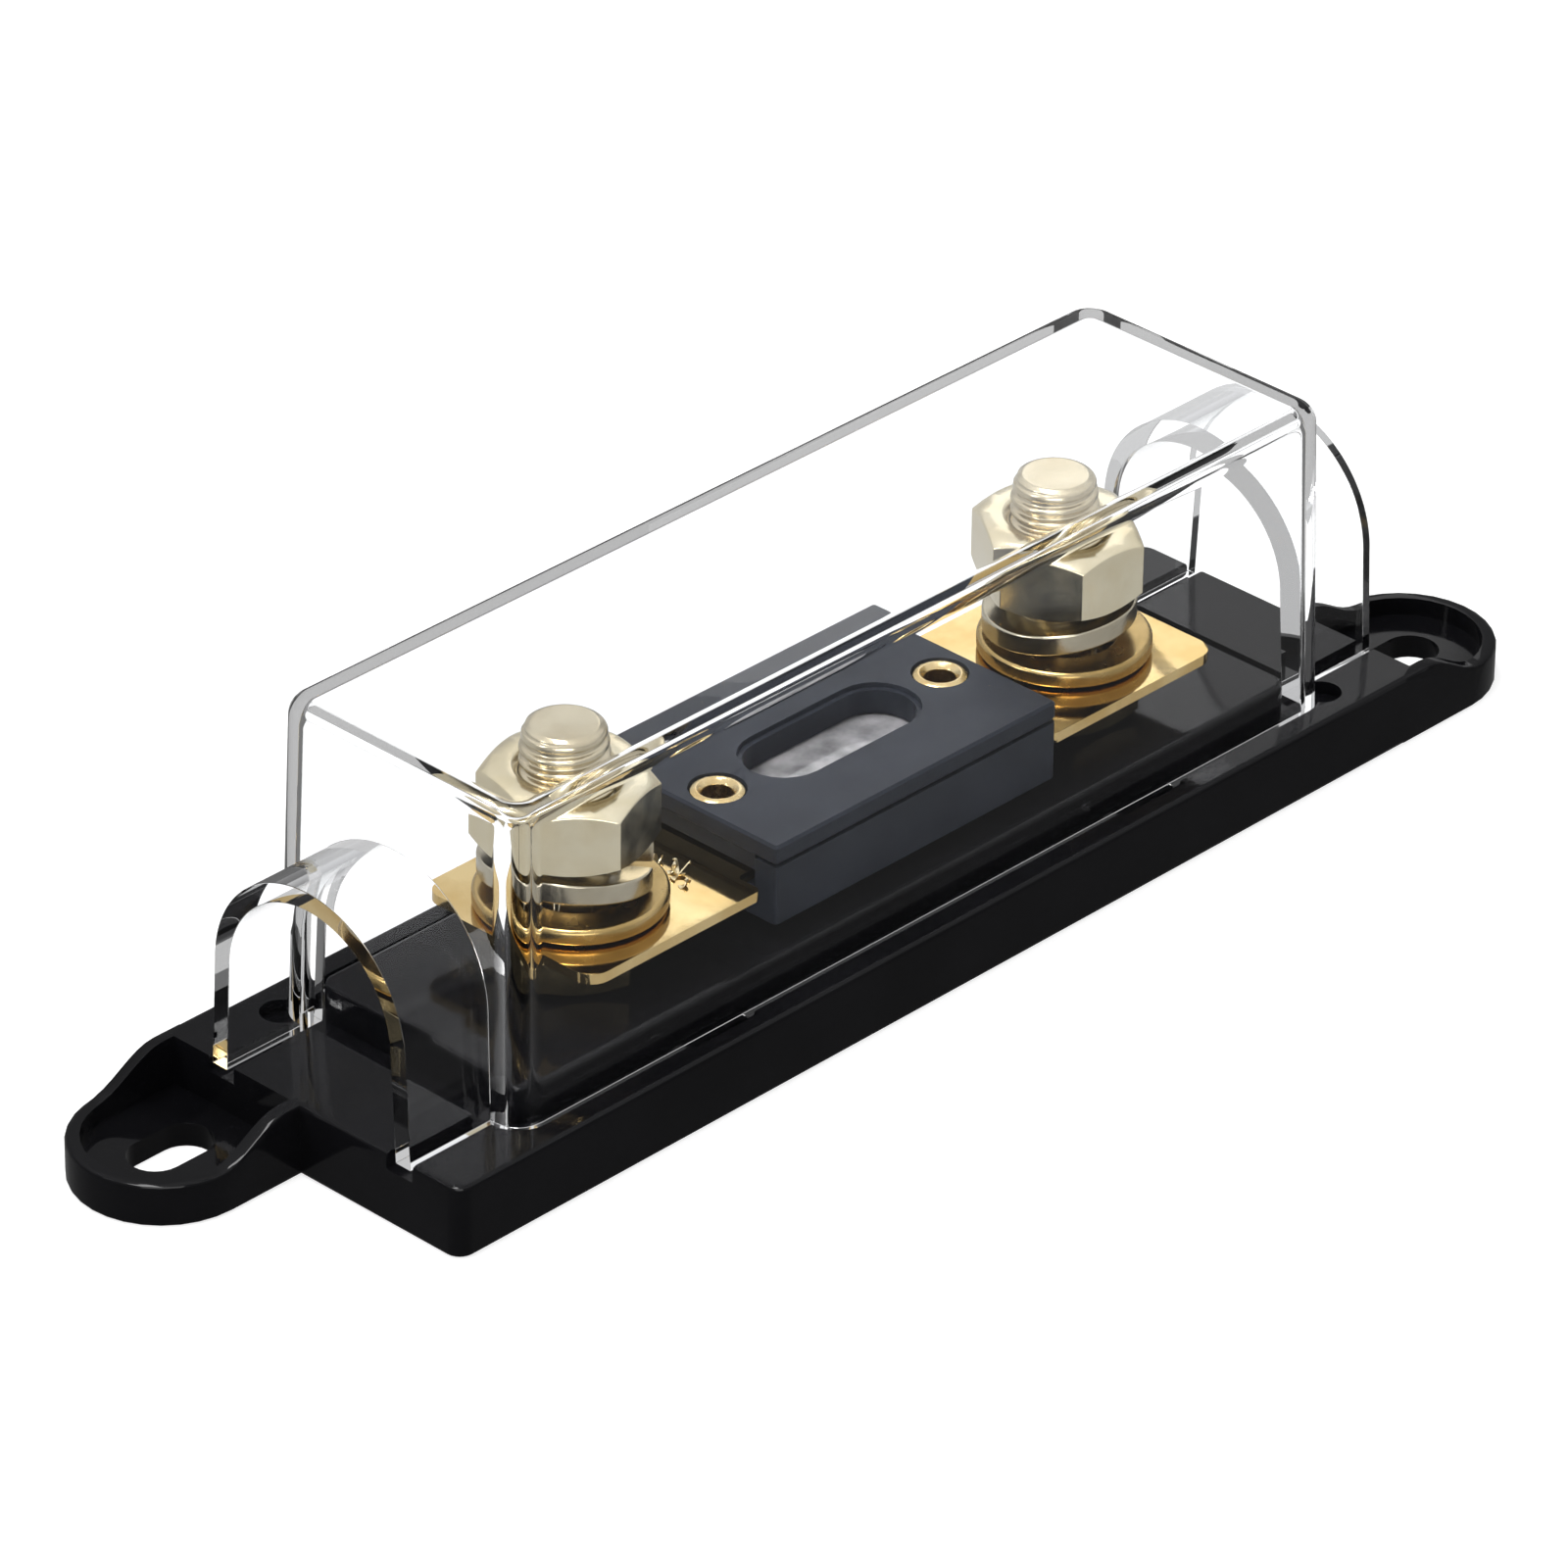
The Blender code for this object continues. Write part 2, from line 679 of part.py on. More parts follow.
def strip_outline():
    """Two blades that narrow into the case and meet in a thin link."""
    half = strip_length / 2
    wide = strip_width / 2
    corner = strip_corner
    neck = neck_width / 2
    link = link_length / 2
    thin = link_width / 2
    sides = []
    for gap in shoulder_gaps:
        inner_end = case_length / 2 + gap
        turn = (inner_end + shoulder_round, wide - shoulder_round)
        sides.append(
            arc((half - corner, wide - corner), corner, 0, 90, 6)
            + arc(turn, shoulder_round, 90, 180, 4)
            + [(inner_end, neck), (link + link_round, neck), (link, neck - link_round)]
            + arc((link - link_round, thin + link_round), link_round, 360, 270, 4)
        )
    top = sides[1] + [(-x, y) for x, y in sides[0][::-1]]
    return top + [(x, -y) for x, y in top[::-1]]


def make_strip():
    outlines = [strip_outline()]
    slot = stadium(strip_slot_length, hole_diameter)
    hole = eyelet_bore / 2 + eyelet_wall + side_gap
    for side in (-1, 1):
        outlines.append(moved(slot, side * stud_x))
        outlines.append(arc((side * eyelet_spacing / 2, 0), hole, 0, 345, 23))
    mesh = plate_mesh("fuse_strip", outlines, strip_low, strip_top)
    strip = add_object("fuse_strip", mesh, GOLD_STRIP)
    settle(strip)
    return strip


def make_case_body():
    """The fuse's lower shell: a tray whose ends are notched for the blades."""
    mesh = plate_mesh(
        "fuse_case", [rounded_rectangle(case_length, case_width, 0.4 * MM, 2)],
        case_low, lid_low - seat_gap,
    )
    case = add_object("fuse_case", mesh, FUSE_CASE)
    inside = box_mesh(
        "case_inside",
        (-case_length / 2 + case_wall, -case_width / 2 + case_wall, case_low + case_floor),
        (case_length / 2 - case_wall, case_width / 2 - case_wall, case_top),
    )
    cut(case, inside)
    half_notch = neck_width / 2 + blade_notch_margin
    notch = box_mesh(
        "blade_notch", (-case_length, -half_notch, strip_low - side_gap),
        (case_length, half_notch, case_top),
    )
    cut(case, notch)
    hole = eyelet_bore / 2 + eyelet_wall + side_gap
    post = hole + case_wall * 0.8
    for x in (-eyelet_spacing / 2, eyelet_spacing / 2):
        low = case_low + case_floor / 2
        join(case, cylinder_mesh("eyelet_post", post, low, strip_low - side_gap, 24), (x, 0, 0))
    for x in (-eyelet_spacing / 2, eyelet_spacing / 2):
        drill = cylinder_mesh("case_drill", hole, case_low - case_floor, case_top, 24)
        cut(case, drill, (x, 0, 0))
    settle(case)
    return case


def make_lid():
    """The fuse's upper shell: a plate with a window and a collar under it."""
    lid = add_object(
        "fuse_lid",
        plate_mesh(
            "fuse_lid", [rounded_rectangle(case_length, case_width, 0.4 * MM, 2)],
            lid_low, case_top,
        ),
        FUSE_CASE,
    )
    round_edges(lid, 0.25 * MM, 1)
    collar = stadium(window_length + 2 * pane_margin, window_width + 2 * pane_margin)
    collar_low = pane_top + seat_gap
    join(lid, plate_mesh("window_collar", [collar], collar_low, case_top - window_lip))
    opening = stadium(window_length, window_width)
    cut(lid, plate_mesh("window_opening", [opening], collar_low - case_floor, case_top + case_floor))
    lip = stadium(window_length + 2 * window_lip, window_width + 2 * window_lip)
    cut(lid, plate_mesh("window_lip", [lip], case_top - window_lip, case_top + case_floor))
    tongues = []
    half_tongue = neck_width / 2 + blade_notch_margin - side_gap
    for end in (-1, 1):
        x = sorted((end * (case_length / 2 - case_wall), end * (case_length / 2 - tongue_recess)))
        low = (x[0], -half_tongue, strip_top + side_gap)
        tongues.append((low, (x[1], half_tongue, lid_low + lid_thickness / 2)))
    join(lid, boxes_mesh("lid_tongues", tongues))
    hole = eyelet_bore / 2 + eyelet_wall + side_gap
    for x in (-eyelet_spacing / 2, eyelet_spacing / 2):
        drill = cylinder_mesh("lid_drill", hole, lid_low - case_floor, case_top + case_floor, 24)
        cut(lid, drill, (x, 0, 0))
        recess = eyelet_flange / 2 + side_gap / 2
        seat = cylinder_mesh("lid_seat", recess, case_top - eyelet_recess, case_top + case_floor, 32)
        cut(lid, seat, (x, 0, 0))
    settle(lid)
    return lid


def make_pane():
    outline = stadium(window_length + 2 * pane_margin, window_width + 2 * pane_margin)
    mesh = plate_mesh("window_pane", [outline], pane_top - pane_thickness, pane_top)
    pane = add_object("window_pane", mesh, GREY_PANE)
    settle(pane)
    return pane


def make_eyelet(name, x):
    """A tube rolled outwards at both ends over the shells that it holds together."""
    bore = eyelet_bore / 2
    tube = bore + eyelet_wall
    rim = eyelet_flange / 2
    low = case_low - seat_gap
    high = case_top - eyelet_recess + seat_gap
    top_roll = [(rim, high), (rim, high + eyelet_curl * 0.6), (rim - eyelet_curl, high + eyelet_curl)]
    top_roll += [(bore + eyelet_curl, high + eyelet_curl), (bore, high)]
    foot_roll = [(bore, low), (bore + eyelet_curl, low - eyelet_curl)]
    foot_roll += [(rim - eyelet_curl, low - eyelet_curl), (rim, low - eyelet_curl * 0.6), (rim, low)]
    profile = foot_roll + [(tube, low), (tube, high)] + top_roll
    eyelet = add_object(name, turned_mesh(name, profile, SMALL_ROUND_SIDES), BRASS, (x, 0, 0))
    settle(eyelet)
    return eyelet


def main():
    make_base()
    make_cover()
    sides = ("left", "right")
    for i, x in enumerate((-stud_x, stud_x)):
        make_bolt(f"bolt_{sides[i]}", x)
        make_nut(f"lower_nut_{sides[i]}", x, thin_nut_low, thin_nut_height, thin_nut_turns[i])
        make_washer(f"flat_washer_{sides[i]}", x)
        make_spring_washer(f"spring_washer_{sides[i]}", x, spring_turns[i])
        make_nut(f"top_nut_{sides[i]}", x, nut_low, nut_height, nut_turns[i])
    make_strip()
    make_case_body()
    make_lid()
    make_pane()
    for i, x in enumerate((-eyelet_spacing / 2, eyelet_spacing / 2)):
        make_eyelet(f"eyelet_{sides[i]}", x)


main()
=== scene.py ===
"""Looks of the fuse holder: a clear cover over yellow-zinc studs and a bladed fuse.

Metres, +Z up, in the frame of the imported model.
"""

from math import cos, pi, radians, sin, sqrt, tan

import bmesh
import bpy
from mathutils import Matrix, Vector


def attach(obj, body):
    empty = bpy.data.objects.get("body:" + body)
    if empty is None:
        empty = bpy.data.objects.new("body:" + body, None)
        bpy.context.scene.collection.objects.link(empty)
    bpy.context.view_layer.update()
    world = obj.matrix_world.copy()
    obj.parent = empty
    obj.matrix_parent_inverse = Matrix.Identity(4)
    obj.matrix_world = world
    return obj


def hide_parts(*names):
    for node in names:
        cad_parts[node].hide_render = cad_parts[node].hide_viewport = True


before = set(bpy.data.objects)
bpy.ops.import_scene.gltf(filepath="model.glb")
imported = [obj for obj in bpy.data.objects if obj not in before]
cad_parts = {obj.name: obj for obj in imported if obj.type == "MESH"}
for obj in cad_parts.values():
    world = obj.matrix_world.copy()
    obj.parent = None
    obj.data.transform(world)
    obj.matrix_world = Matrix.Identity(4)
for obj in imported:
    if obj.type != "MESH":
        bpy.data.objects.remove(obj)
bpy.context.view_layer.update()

MM = 0.001

# Sizes that the finer shapes share with the solids
base_length = 123.2 * MM
side_gap = 0.30 * MM
cover_length = 104.0 * MM
cover_width = 30.8 * MM
cover_foot = 5.8 * MM
cover_edge = 6.42 * MM  # where its visible walls end, just below the ledge's level
cover_top = 37.6 * MM
cover_wall = 1.8 * MM
cover_draft = 1.4  # degrees
cover_corner = 3.0 * MM
cover_top_round = 1.8 * MM
cover_hollow_round = 0.3 * MM  # of the inner top edge, which is nearly sharp
arch_radius = 11.6 * MM
arch_centre = 17.0 * MM
tab_spacing = 55.0 * MM
tab_length = 7.2 * MM
tab_drop = 4.4 * MM
tab_thickness = 1.5 * MM
tab_barb = 0.45 * MM
stud_x = 31.0 * MM
stud_radius = 4.0 * MM
stud_top = 31.5 * MM
stud_chamfer = 0.85 * MM
thread_pitch = 1.25 * MM
thread_low = 17.0 * MM
thread_depth = 0.55 * MM
thread_crest = 0.14  # share of a turn's half that stays at the full radius
thread_flank = 0.60  # share of it over which the thread falls to its root
side_end = 0.12 * MM  # from the stud's top down to where its side ends
nose_height = 0.8 * MM
nose_round = 0.60 * MM
nose_draft = 0.17
stub_height = 2 * MM  # of the plain shank left inside the thread
stub_inset = 0.75 * MM
nut_flats = 13.3 * MM
nut_low = 21.3 * MM
nut_height = 6.2 * MM
thin_nut_low = 9.4 * MM
thin_nut_height = 4.4 * MM
nut_bore = 8.1 * MM
nut_chamfer = 30.0  # degrees
nut_face = 0.95  # of the flats, for the flat ring on a nut's end
nut_margin = 0.05  # of the flats, by which the trimming cone passes the corners
nut_sink = 0.55 * MM
nut_turns = (17.0, 57.5)
thin_nut_turns = (24.5, 55.4)
washer_radius = 7.95 * MM
washer_bore = 9.4 * MM
washer_shift = (0.36 * MM, -0.38 * MM)
washer_low = 15.2 * MM
blade_top = 15.0 * MM
washer_thickness = 1.6 * MM
washer_edge = 0.45 * MM
spring_radius = 7.0 * MM
spring_bore = 8.6 * MM
spring_low = 17.0 * MM
spring_height = 4.1 * MM
spring_thickness = 2.0 * MM
spring_edge = 0.22 * MM
spring_split = 10.0  # degrees
spring_lean = 1.3 * MM
spring_turns = (-53.0, 38.5)

# The photograph's camera
view_azimuth = 46.53
view_elevation = 30.74
view_roll = 0.77
view_target = Vector((-2.28, 1.34, 13.76)) * MM
view_distance = 863.24 * MM
view_focal_pixels = 9982.0
frame_pixels = 1600.0
sensor_width = 36.0

# Counts of bounces, halfway between whole numbers, that tell rays apart
any_bounce = 0.5
wall_bounces = 1.5  # mirrored more than once: trapped inside a wall of the cover
cover_crossings = 3.5  # gone in and out through the cover

# Greys of the room against the Z of a ray's direction: the two ends first
room_greys = ((0.0, 0.62), (0.92, 1.0), (0.22, 0.22), (0.6, 0.36))
covered_greys = ((0.0, 0.80), (0.92, 1.0), (0.22, 0.48), (0.5, 0.92))
sky_greys = ((0.12, 1.0), (0.45, 0.75))
ambient_grey = 0.5
trapped_share = 0.45
floor_grey = 0.45
floor_glow = 0.76
floor_mirrored = 0.18
floor_covered = 0.42  # more of it for rays that come through the cover
floor_half = 6.0
floor_drop = 0.05 * MM

# Name, place, aim, width, height and power of each lamp
lamps = (
    ("overhead", (-0.15, 0.1, 1.0), (0, 0, 0), 0.55, 0.22, 6.0),
    ("left_box", (-1.0, 0.35, 0.55), (0, 0, 0.02), 0.25, 0.5, 3.0),
    ("low_card", (-0.52, -0.46, 0.13), (0, 0, 0.02), 0.55, 0.24, 1.6),
    ("right_card", (0.235, 0.18, 0.165), (0.04, 0, 0.012), 0.10, 0.10, 0.024),
)


def make_camera():
    a, e, roll = radians(view_azimuth), radians(view_elevation), radians(view_roll)
    back = Vector((-sin(a) * cos(e), -cos(a) * cos(e), sin(e)))
    right = Vector((cos(a), -sin(a), 0))
    up = back.cross(right)
    x_axis = right * cos(roll) + up * sin(roll)
    y_axis = up * cos(roll) - right * sin(roll)
    data = bpy.data.cameras.new("camera")
    data.sensor_width = sensor_width
    data.lens = view_focal_pixels / frame_pixels * sensor_width
    data.clip_start = 0.05
    data.clip_end = 50.0
    camera = bpy.data.objects.new("camera", data)
    bpy.context.scene.collection.objects.link(camera)
    turn = Matrix((x_axis, y_axis, back)).transposed()
    camera.matrix_world = Matrix.Translation(view_target + back * view_distance) @ turn.to_4x4()
    bpy.context.scene.camera = camera


def math_node(tree, operation, first, second):
    node = tree.nodes.new("ShaderNodeMath")
    node.operation = operation
    node.use_clamp = True
    for socket, value in zip(node.inputs, (first, second)):
        if isinstance(value, float):
            socket.default_value = value
        else:
            tree.links.new(value, socket)
    return node.outputs[0]


def seen_directly(tree):
    """Three factors: for rays that show the background straight or through the cover, with less of
    it for those long trapped in a wall, for rays that mirror it, and for rays that have gone in
    and out of the cover."""
    path = tree.nodes.new("ShaderNodeLightPath")
    unmirrored = math_node(tree, "LESS_THAN", path.outputs["Glossy Depth"], any_bounce)
    unscattered = math_node(tree, "LESS_THAN", path.outputs["Diffuse Depth"], any_bounce)
    through = math_node(tree, "MULTIPLY", path.outputs["Is Transmission Ray"], unmirrored)
    through = math_node(tree, "MULTIPLY", through, unscattered)
    straight = math_node(tree, "MAXIMUM", path.outputs["Is Camera Ray"], through)
    trapped = math_node(tree, "GREATER_THAN", path.outputs["Glossy Depth"], wall_bounces)
    let_out = math_node(tree, "MULTIPLY", trapped, trapped_share)
    direct = math_node(tree, "MAXIMUM", straight, let_out)
    once = math_node(tree, "SUBTRACT", unscattered, unmirrored)
    mirrored = math_node(tree, "SUBTRACT", once, direct)
    covered = math_node(tree, "GREATER_THAN", path.outputs["Transmission Depth"], cover_crossings)
    return direct, mirrored, covered


def grey_ramp(tree, greys):
    """A ramp from (position, grey) pairs, with a trace of blue."""
    ramp = tree.nodes.new("ShaderNodeValToRGB")
    elements = ramp.color_ramp.elements
    for i, (position, grey) in enumerate(greys):
        element = elements[i] if i < 2 else elements.new(position)
        element.position = position
        element.color = (grey, grey, grey * 1.01, 1)
    return ramp


def colour_mix(tree, factor, first, second):
    node = tree.nodes.new("ShaderNodeMix")
    node.data_type = "RGBA"
    tree.links.new(factor, node.inputs["Factor"])
    for socket, value in ((node.inputs["A"], first), (node.inputs["B"], second)):
        if isinstance(value, tuple):
            socket.default_value = value
        else:
            tree.links.new(value, socket)
    return node.outputs["Result"]


def make_world():
    """White behind the object, and a soft grey room with a dark back for what mirrors it."""
    world = bpy.data.worlds.new("studio")
    bpy.context.scene.world = world
    world.use_nodes = True
    tree = world.node_tree
    background = tree.nodes["Background"]
    place = tree.nodes.new("ShaderNodeTexCoord")
    split = tree.nodes.new("ShaderNodeSeparateXYZ")
    tree.links.new(place.outputs["Generated"], split.inputs[0])
    plain = grey_ramp(tree, room_greys)
    inside = grey_ramp(tree, covered_greys)
    sky = grey_ramp(tree, sky_greys)
    for ramp in (plain, inside, sky):
        tree.links.new(split.outputs["Z"], ramp.inputs[0])
    direct, mirrored, covered = seen_directly(tree)
    path = tree.nodes.new("ShaderNodeLightPath")
    room = colour_mix(tree, covered, plain.outputs[0], inside.outputs[0])
    ambient = (ambient_grey, ambient_grey, ambient_grey, 1)
    room = colour_mix(tree, mirrored, ambient, room)
    behind = colour_mix(tree, path.outputs["Is Camera Ray"], sky.outputs[0], (1, 1, 1, 1))
    seen = colour_mix(tree, direct, room, behind)
    tree.links.new(seen, background.inputs["Color"])


def make_floor():
    """A white floor that keeps the shadow and is dimmer in what mirrors it."""
    mesh = bpy.data.meshes.new("floor")
    bm = bmesh.new()
    bmesh.ops.create_grid(bm, x_segments=1, y_segments=1, size=floor_half)
    bm.to_mesh(mesh)
    bm.free()
    floor = bpy.data.objects.new("floor", mesh)
    floor.location.z = -floor_drop
    bpy.context.scene.collection.objects.link(floor)
    material = bpy.data.materials.new("floor_white")
    material.use_nodes = True
    tree = material.node_tree
    tree.nodes.clear()
    output = tree.nodes.new("ShaderNodeOutputMaterial")
    matt = tree.nodes.new("ShaderNodeBsdfDiffuse")
    matt.inputs["Color"].default_value = (floor_grey, floor_grey, floor_grey, 1)
    glow = tree.nodes.new("ShaderNodeEmission")
    direct, mirrored, covered = seen_directly(tree)
    tree.links.new(math_node(tree, "MULTIPLY", direct, floor_glow), glow.inputs["Strength"])
    both = tree.nodes.new("ShaderNodeAddShader")
    tree.links.new(matt.outputs[0], both.inputs[0])
    tree.links.new(glow.outputs[0], both.inputs[1])
    dim = tree.nodes.new("ShaderNodeEmission")
    extra = math_node(tree, "MULTIPLY", covered, floor_covered)
    tree.links.new(math_node(tree, "ADD", extra, floor_mirrored), dim.inputs["Strength"])
    pick = tree.nodes.new("ShaderNodeMixShader")
    tree.links.new(mirrored, pick.inputs[0])
    tree.links.new(both.outputs[0], pick.inputs[1])
    tree.links.new(dim.outputs[0], pick.inputs[2])
    tree.links.new(pick.outputs[0], output.inputs["Surface"])
    mesh.materials.append(material)


def make_lamp(name, location, target, width, height, power):
    data = bpy.data.lights.new(name, "AREA")
    data.shape = "RECTANGLE"
    data.size = width
    data.size_y = height
    data.energy = power
    lamp = bpy.data.objects.new(name, data)
    lamp.location = location
    aim = Vector(target) - Vector(location)
    lamp.rotation_euler = aim.to_track_quat("-Z", "Y").to_euler()
    lamp.visible_camera = False
    bpy.context.scene.collection.objects.link(lamp)


# Materials


def noise_value(tree, place, scale, detail):
    node = tree.nodes.new("ShaderNodeTexNoise")
    node.inputs["Scale"].default_value = scale
    node.inputs["Detail"].default_value = detail
    tree.links.new(place.outputs["Object"], node.inputs["Vector"])
    return node.outputs[0]


def surface(name, light, dark, patch, roughness, metallic=0.0, specular=0.5, bumps=()):
    """A shader whose colour and roughness wander between two values, over fine relief."""
    material = bpy.data.materials.new(name)
    material.use_nodes = True
    tree = material.node_tree
    shader = tree.nodes["Principled BSDF"]
    shader.inputs["Metallic"].default_value = metallic
    shader.inputs["Specular IOR Level"].default_value = specular
    place = tree.nodes.new("ShaderNodeTexCoord")
    colours = tree.nodes.new("ShaderNodeValToRGB")
    colours.color_ramp.elements[0].position = 0.34
    colours.color_ramp.elements[0].color = (*dark, 1)
    colours.color_ramp.elements[1].position = 0.66
    colours.color_ramp.elements[1].color = (*light, 1)
    tree.links.new(noise_value(tree, place, patch, 5.0), colours.inputs[0])
    tree.links.new(colours.outputs[0], shader.inputs["Base Color"])
    rough = tree.nodes.new("ShaderNodeMapRange")
    rough.inputs["From Min"].default_value = 0.3
    rough.inputs["From Max"].default_value = 0.7
    rough.inputs["To Min"].default_value = roughness[0]
    rough.inputs["To Max"].default_value = roughness[1]
    tree.links.new(noise_value(tree, place, patch * 2.7, 4.0), rough.inputs["Value"])
    tree.links.new(rough.outputs[0], shader.inputs["Roughness"])
    previous = None
    for scale, distance in bumps:
        bump = tree.nodes.new("ShaderNodeBump")
        bump.inputs["Strength"].default_value = 1.0
        bump.inputs["Distance"].default_value = distance
        tree.links.new(noise_value(tree, place, scale, 3.0), bump.inputs["Height"])
        if previous is not None:
            tree.links.new(previous.outputs[0], bump.inputs["Normal"])
        previous = bump
    if previous is not None:
        tree.links.new(previous.outputs[0], shader.inputs["Normal"])
    return material


def clear_material(name, tint, roughness, ior, wave, mirror):
    """Clear plastic that bends what is behind it, and lets out the lamps' light and what has
    bounced about inside a wall."""
    material = bpy.data.materials.new(name)
    material.use_nodes = True
    tree = material.node_tree
    shader = tree.nodes["Principled BSDF"]
    shader.inputs["Base Color"].default_value = (*tint, 1)
    shader.inputs["Roughness"].default_value = roughness
    shader.inputs["Transmission Weight"].default_value = 1.0
    shader.inputs["IOR"].default_value = ior
    shader.inputs["Specular Tint"].default_value = (*mirror, 1)
    place = tree.nodes.new("ShaderNodeTexCoord")
    bump = tree.nodes.new("ShaderNodeBump")
    bump.inputs["Distance"].default_value = wave[1]
    tree.links.new(noise_value(tree, place, wave[0], 1.5), bump.inputs["Height"])
    tree.links.new(bump.outputs[0], shader.inputs["Normal"])
    path = tree.nodes.new("ShaderNodeLightPath")
    trapped = math_node(tree, "GREATER_THAN", path.outputs["Glossy Depth"], wall_bounces)
    passes = math_node(tree, "MAXIMUM", path.outputs["Is Shadow Ray"], trapped)
    through = tree.nodes.new("ShaderNodeBsdfTransparent")
    mix = tree.nodes.new("ShaderNodeMixShader")
    output = tree.nodes["Material Output"]
    tree.links.new(passes, mix.inputs[0])
    tree.links.new(shader.outputs[0], mix.inputs[1])
    tree.links.new(through.outputs[0], mix.inputs[2])
    tree.links.new(mix.outputs[0], output.inputs["Surface"])
    return material


PLATED_RELIEF = ((300, 0.008 * MM), (3600, 0.003 * MM))

BLACK_PLASTIC = surface(
    "black_plastic", (0.0045, 0.0045, 0.0054), (0.0028, 0.0028, 0.0034), 90, (0.06, 0.12),
    specular=0.18, bumps=((55, 0.02 * MM), (2600, 0.0008 * MM)),
)
FUSE_PLASTIC = surface(
    "satin_blue_black", (0.022, 0.025, 0.033), (0.017, 0.0195, 0.026), 160, (0.30, 0.40),
    specular=0.12, bumps=((2600, 0.002 * MM),),
)
YELLOW_ZINC = surface(
    "yellow_zinc", (0.86, 0.79, 0.60), (0.78, 0.68, 0.46), 150, (0.15, 0.26), metallic=1.0,
    bumps=((300, 0.010 * MM), (1300, 0.005 * MM), (3600, 0.004 * MM)),
)
STUD_ZINC = surface(
    "stud_zinc", (0.70, 0.63, 0.47), (0.58, 0.50, 0.34), 150, (0.15, 0.26), metallic=1.0,
    bumps=PLATED_RELIEF,
)
# Greyer plating than the nuts, darkened as painted shade for the dark base and cover that it
# mirrors.
SPRING_ZINC_PAINTED_SHADE = surface(
    "spring_zinc_painted_shade", (0.60, 0.55, 0.43), (0.44, 0.39, 0.29), 150, (0.15, 0.26), metallic=1.0,
    bumps=PLATED_RELIEF,
)
# Yellower plating than the nuts; its darker amber tone is painted shade and a painted reflection
# of the gold blade.
WASHER_ZINC_PAINTED_SHADE = surface(
    "washer_zinc_painted_shade", (0.54, 0.39, 0.17), (0.38, 0.26, 0.09), 150, (0.18, 0.30), metallic=1.0,
    bumps=PLATED_RELIEF,
)
# The lower nuts' zinc, painted nearly black as shade below the blade.
PAINTED_SHADE_NUT_ZINC = surface(
    "painted_shade_nut_zinc", (0.34, 0.28, 0.16), (0.20, 0.16, 0.09), 150, (0.14, 0.26), metallic=1.0,
    bumps=PLATED_RELIEF,
)
GOLD = surface(
    "gold_plating", (0.80, 0.61, 0.30), (0.66, 0.46, 0.18), 180, (0.05, 0.10), metallic=1.0,
    bumps=((160, 0.02 * MM), (1900, 0.002 * MM)),
)
# Pale cut metal, lightened further as painted light on the small self-shadowed curls.
BURR = surface(
    "bright_burr", (0.95, 0.84, 0.58), (0.92, 0.76, 0.44), 300, (0.25, 0.40), metallic=1.0,
)
BRASS = surface(
    "eyelet_brass", (0.80, 0.64, 0.36), (0.66, 0.48, 0.22), 500, (0.16, 0.30), metallic=1.0,
    bumps=((1800, 0.006 * MM),),
)
CLEAR = clear_material(
    "water_clear", (0.985, 0.99, 0.995), 0.0, 1.49, (70, 0.004 * MM), (0.1, 0.1, 0.1)
)
PANE = surface(
    "mica_pane", (0.34, 0.33, 0.34), (0.12, 0.12, 0.123), 260, (0.04, 0.12), specular=1.0,
    bumps=((500, 0.01 * MM),),
)


# Shapes


def add_object(name, mesh):
    obj = bpy.data.objects.new(name, mesh)
    bpy.context.scene.collection.objects.link(obj)
    return obj


def finish_bmesh(bm, name):
    bmesh.ops.recalc_face_normals(bm, faces=bm.faces)
    mesh = bpy.data.meshes.new(name)
    bm.to_mesh(mesh)
    bm.free()
    return mesh


def tidy_mesh(mesh):
    """Welds doubled points and pairs flat triangles."""
    bm = bmesh.new()
    bm.from_mesh(mesh)
    bmesh.ops.remove_doubles(bm, verts=bm.verts, dist=2e-6)
    bmesh.ops.dissolve_degenerate(bm, edges=bm.edges, dist=1e-6)
    bmesh.ops.join_triangles(
        bm, faces=bm.faces, angle_face_threshold=radians(0.08), angle_shape_threshold=pi
    )
    return finish_bmesh(bm, mesh.name)


def applied(obj):
    """The mesh that an object's modifiers make, in the frame's own place."""
    bpy.context.view_layer.update()
    graph = bpy.context.evaluated_depsgraph_get()
    mesh = bpy.data.meshes.new_from_object(obj.evaluated_get(graph))
    mesh.transform(obj.matrix_world)
    return mesh


def boolean(mesh, steps):
    """Cuts, joins or trims a mesh by others, one after another."""
    holder = add_object("blank", mesh)
    others = []
    for operation, other in steps:
        tool = add_object("tool", other)
        others.append(tool)
        modifier = holder.modifiers.new("step", "BOOLEAN")
        modifier.operation = operation
        modifier.object = tool
    result = applied(holder)
    for obj in [holder] + others:
        bpy.data.objects.remove(obj)
    return result


